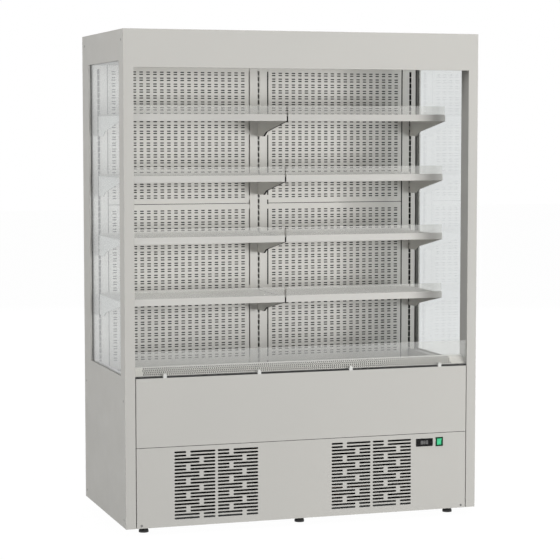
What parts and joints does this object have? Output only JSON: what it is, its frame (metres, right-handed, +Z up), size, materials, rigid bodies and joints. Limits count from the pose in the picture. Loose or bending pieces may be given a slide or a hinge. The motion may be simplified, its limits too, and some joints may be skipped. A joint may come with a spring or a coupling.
{
  "type": "open multideck display fridge",
  "caption": "Wide open-front multideck display fridge with clear side windows, half-width shelves with clear risers, perforated back panels, louvred service panel and levelling feet.",
  "frame": {"origin": "on the floor under the middle of the width and of the depth, feet fully screwed in", "axes": "+X to the viewer's right seen from the open front, +Y from the open front to the rear wall, +Z up"},
  "size_m": [1.5, 0.7448, 2],
  "materials": {
    "painted_steel": "satin powder coat",
    "foamed_wall": "satin powder coat",
    "galvanised_steel": "satin",
    "black_foot": "matt",
    "clear_glass": "gloss",
    "clear_acrylic": "gloss",
    "clip_plastic": "gloss",
    "black_plastic": "satin",
    "display": "gloss",
    "dark_green_plastic": "gloss",
    "green_lit_plastic": "gloss",
    "lamp": "gloss",
    "coil_metal": "satin",
    "black_steel": "satin",
    "copper": "satin",
    "grey_plastic": "matt",
    "screw_steel": "satin"
  },
  "bodies": {
    "shelf_left_1_set": {"shelf_left_1": "painted_steel", "shelf_riser_left_1": "clear_acrylic"},
    "shelf_right_1_set": {"shelf_right_1": "painted_steel", "shelf_riser_right_1": "clear_acrylic"},
    "shelf_left_2_set": {"shelf_left_2": "painted_steel", "shelf_riser_left_2": "clear_acrylic"},
    "shelf_right_2_set": {"shelf_right_2": "painted_steel", "shelf_riser_right_2": "clear_acrylic"},
    "shelf_left_3_set": {"shelf_left_3": "painted_steel", "shelf_riser_left_3": "clear_acrylic"},
    "shelf_right_3_set": {"shelf_right_3": "painted_steel", "shelf_riser_right_3": "clear_acrylic"},
    "shelf_left_4_set": {"shelf_left_4": "painted_steel", "shelf_riser_left_4": "clear_acrylic"},
    "shelf_right_4_set": {"shelf_right_4": "painted_steel", "shelf_riser_right_4": "clear_acrylic"},
    "foot_front_left_set": {"foot_front_left": "black_foot"},
    "foot_front_middle_set": {"foot_front_middle": "black_foot"},
    "foot_front_right_set": {"foot_front_right": "black_foot"},
    "foot_rear_left_set": {"foot_rear_left": "black_foot"},
    "foot_rear_middle_set": {"foot_rear_middle": "black_foot"},
    "foot_rear_right_set": {"foot_rear_right": "black_foot"},
    "key_up": {"controller_key_up": "black_plastic"},
    "key_down": {"controller_key_down": "black_plastic"},
    "key_set": {"controller_key_set": "black_plastic"},
    "lamp_switch_rocker": {"switch_rocker": "green_lit_plastic"},
    "evaporator_fan_left": {"evaporator_fan_rotor_left": "black_plastic"},
    "evaporator_fan_right": {"evaporator_fan_rotor_right": "black_plastic"},
    "condenser_fan": {"condenser_fan_rotor": "black_plastic"},
    "cabinet": {"base_frame": "galvanised_steel", "side_panel_left": "foamed_wall", "side_panel_right": "foamed_wall", "side_glass": "clear_glass", "rear_wall": "foamed_wall", "roof_panel": "foamed_wall", "insulated_tub": "foamed_wall", "shelf_uprights": "painted_steel", "perforated_back_panels": "painted_steel", "shelf_brackets": "painted_steel", "deck_trays": "painted_steel", "return_air_grille": "painted_steel", "front_glass": "clear_glass", "glass_clips": "clip_plastic", "header_fascia": "painted_steel", "mid_front_panel": "painted_steel", "lower_front_panel": "painted_steel", "canopy_liner": "painted_steel", "air_outlet_grille": "black_plastic", "canopy_lamp": "lamp", "controller_housing": "black_plastic", "controller_window": "display", "switch_bezel": "dark_green_plastic", "evaporator_coil": "coil_metal", "condenser_coil": "coil_metal", "evaporator_fan_mount": "galvanised_steel", "condenser_fan_shroud": "galvanised_steel", "compressor": "black_steel", "refrigerant_pipes": "copper", "condensate_tray": "grey_plastic", "screws": "screw_steel"}
  },
  "joints": [
    {"name": "shelf_left_1_pull", "type": "slide", "parent": "cabinet", "child": "shelf_left_1_set", "axis": [0, -1, 0], "range_m": [0, 0.3]},
    {"name": "shelf_right_1_pull", "type": "slide", "parent": "cabinet", "child": "shelf_right_1_set", "axis": [0, -1, 0], "range_m": [0, 0.3]},
    {"name": "shelf_left_2_pull", "type": "slide", "parent": "cabinet", "child": "shelf_left_2_set", "axis": [0, -1, 0], "range_m": [0, 0.3]},
    {"name": "shelf_right_2_pull", "type": "slide", "parent": "cabinet", "child": "shelf_right_2_set", "axis": [0, -1, 0], "range_m": [0, 0.3]},
    {"name": "shelf_left_3_pull", "type": "slide", "parent": "cabinet", "child": "shelf_left_3_set", "axis": [0, -1, 0], "range_m": [0, 0.3]},
    {"name": "shelf_right_3_pull", "type": "slide", "parent": "cabinet", "child": "shelf_right_3_set", "axis": [0, -1, 0], "range_m": [0, 0.3]},
    {"name": "shelf_left_4_pull", "type": "slide", "parent": "cabinet", "child": "shelf_left_4_set", "axis": [0, -1, 0], "range_m": [0, 0.3]},
    {"name": "shelf_right_4_pull", "type": "slide", "parent": "cabinet", "child": "shelf_right_4_set", "axis": [0, -1, 0], "range_m": [0, 0.3]},
    {"name": "foot_front_left_height", "type": "slide", "parent": "cabinet", "child": "foot_front_left_set", "axis": [0, 0, -1], "range_m": [0, 0.015]},
    {"name": "foot_front_middle_height", "type": "slide", "parent": "cabinet", "child": "foot_front_middle_set", "axis": [0, 0, -1], "range_m": [0, 0.015]},
    {"name": "foot_front_right_height", "type": "slide", "parent": "cabinet", "child": "foot_front_right_set", "axis": [0, 0, -1], "range_m": [0, 0.015]},
    {"name": "foot_rear_left_height", "type": "slide", "parent": "cabinet", "child": "foot_rear_left_set", "axis": [0, 0, -1], "range_m": [0, 0.015]},
    {"name": "foot_rear_middle_height", "type": "slide", "parent": "cabinet", "child": "foot_rear_middle_set", "axis": [0, 0, -1], "range_m": [0, 0.015]},
    {"name": "foot_rear_right_height", "type": "slide", "parent": "cabinet", "child": "foot_rear_right_set", "axis": [0, 0, -1], "range_m": [0, 0.015]},
    {"name": "key_up_press", "type": "slide", "parent": "cabinet", "child": "key_up", "axis": [0, 1, 0], "range_m": [0, 0.0005], "stiffness_N_per_m": 2000, "springref_m": -0.0005},
    {"name": "key_down_press", "type": "slide", "parent": "cabinet", "child": "key_down", "axis": [0, 1, 0], "range_m": [0, 0.0005], "stiffness_N_per_m": 2000, "springref_m": -0.0005},
    {"name": "key_set_press", "type": "slide", "parent": "cabinet", "child": "key_set", "axis": [0, 1, 0], "range_m": [0, 0.0005], "stiffness_N_per_m": 2000, "springref_m": -0.0005},
    {"name": "lamp_switch_tilt", "type": "hinge", "parent": "cabinet", "child": "lamp_switch_rocker", "pos_m": [0.5875, -0.3645, 0.31425], "axis": [-1, 0, 0], "range_deg": [0, 14]},
    {"name": "evaporator_fan_left_spin", "type": "hinge", "parent": "cabinet", "child": "evaporator_fan_left", "pos_m": [-0.33, -0.0685, 0.483], "axis": [0, 1, 0], "continuous": true},
    {"name": "evaporator_fan_right_spin", "type": "hinge", "parent": "cabinet", "child": "evaporator_fan_right", "pos_m": [0.33, -0.0685, 0.483], "axis": [0, 1, 0], "continuous": true},
    {"name": "condenser_fan_spin", "type": "hinge", "parent": "cabinet", "child": "condenser_fan", "pos_m": [-0.379, -0.2545, 0.206], "axis": [0, 1, 0], "continuous": true}
  ]
}
